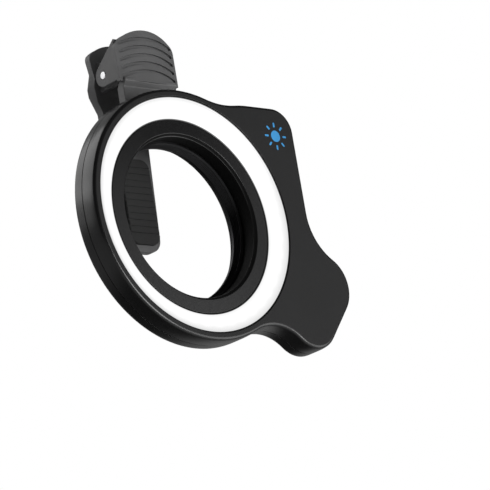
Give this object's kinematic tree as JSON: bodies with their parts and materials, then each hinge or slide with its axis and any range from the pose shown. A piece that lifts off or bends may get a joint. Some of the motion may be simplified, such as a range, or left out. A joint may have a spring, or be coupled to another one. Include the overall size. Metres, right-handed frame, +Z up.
{
  "type": "macro ring light with phone clip",
  "caption": "Rechargeable ring light with a side grip, screwed to a sprung clip that holds it in front of a phone's lenses.",
  "frame": {"origin": "on the optical axis, where the straight wall of the lens bore starts behind its front bevel", "axes": "+X to the grip's side, right seen from the front; +Y back along the optical axis to the phone; +Z up"},
  "size_m": [0.0939, 0.0275, 0.0974],
  "materials": {
    "shell_front": "satin, fine grain",
    "shell_rear": "satin, fine grain",
    "bore_black": "matt black",
    "diffuser_white": "milky, lit",
    "tray_white": "matt white",
    "led_board_white": "solder mask",
    "led_yellow": "phosphor",
    "board_green": "solder mask",
    "chip_black": "moulded",
    "pin_brass": "plated",
    "socket_steel": "plated",
    "switch_steel": "plain",
    "plunger_black": "moulded",
    "button_black": "satin",
    "lens_clear": "milky clear",
    "cell_foil": "foil",
    "tape_grey": "adhesive tape",
    "foam_grey": "foam",
    "lead_red": "insulation",
    "screw_black": "black zinc",
    "screw_steel": "plain",
    "clip_plastic": "satin",
    "ring_anodised": "black anodised",
    "pad_rubber": "soft",
    "pin_steel": "plain",
    "spring_steel": "drawn wire"
  },
  "bodies": {
    "front_lever": {"clip_front_lever": "clip_plastic", "thread_ring": "ring_anodised", "ring_pad": "pad_rubber", "hinge_pin": "pin_steel", "torsion_spring": "spring_steel"},
    "rear_lever": {"clip_rear_lever": "clip_plastic", "jaw_pad": "pad_rubber"},
    "light": {"front_shell": "shell_front", "rear_shell": "shell_rear", "bore_ring": "bore_black", "diffuser": "diffuser_white", "usb_socket": "socket_steel", "reflector_tray": "tray_white", "led_board": "led_board_white", "led_chips": "led_yellow", "control_board": "board_green", "board_chips": "chip_black", "header_block": "chip_black", "header_pins": "pin_brass", "usb_tongue": "chip_black", "tact_switches": "switch_steel", "indicator_led": "led_yellow", "battery_cell": "cell_foil", "battery_tape": "tape_grey", "battery_foam": "foam_grey", "battery_leads": "lead_red", "board_screws": "screw_steel", "indicator_lens": "lens_clear", "case_screws": "screw_black", "bezel_screws": "screw_black"},
    "power_key": {"power_button": "button_black", "power_plunger": "plunger_black"},
    "mode_key": {"mode_button": "button_black", "mode_plunger": "plunger_black"}
  },
  "joints": [
    {"name": "clip_hinge", "type": "hinge", "parent": "front_lever", "child": "rear_lever", "pos_m": [0, 0.0148, 0.047], "axis": [1, 0, 0], "range_deg": [-6.5, 18], "stiffness_Nm_per_rad": 0.3, "deforming": ["torsion_spring"]},
    {"name": "light_turn", "type": "hinge", "parent": "front_lever", "child": "light", "pos_m": [0, 0.0051, 0], "axis": [0, 1, 0], "range_deg": [-180, 0]},
    {"name": "power_press", "type": "slide", "parent": "light", "child": "power_key", "axis": [-1, 0, 0], "range_m": [0, 0.00035], "stiffness_N_per_m": 4000},
    {"name": "mode_press", "type": "slide", "parent": "light", "child": "mode_key", "axis": [-1, 0, 0], "range_m": [0, 0.00035], "stiffness_N_per_m": 4000}
  ]
}
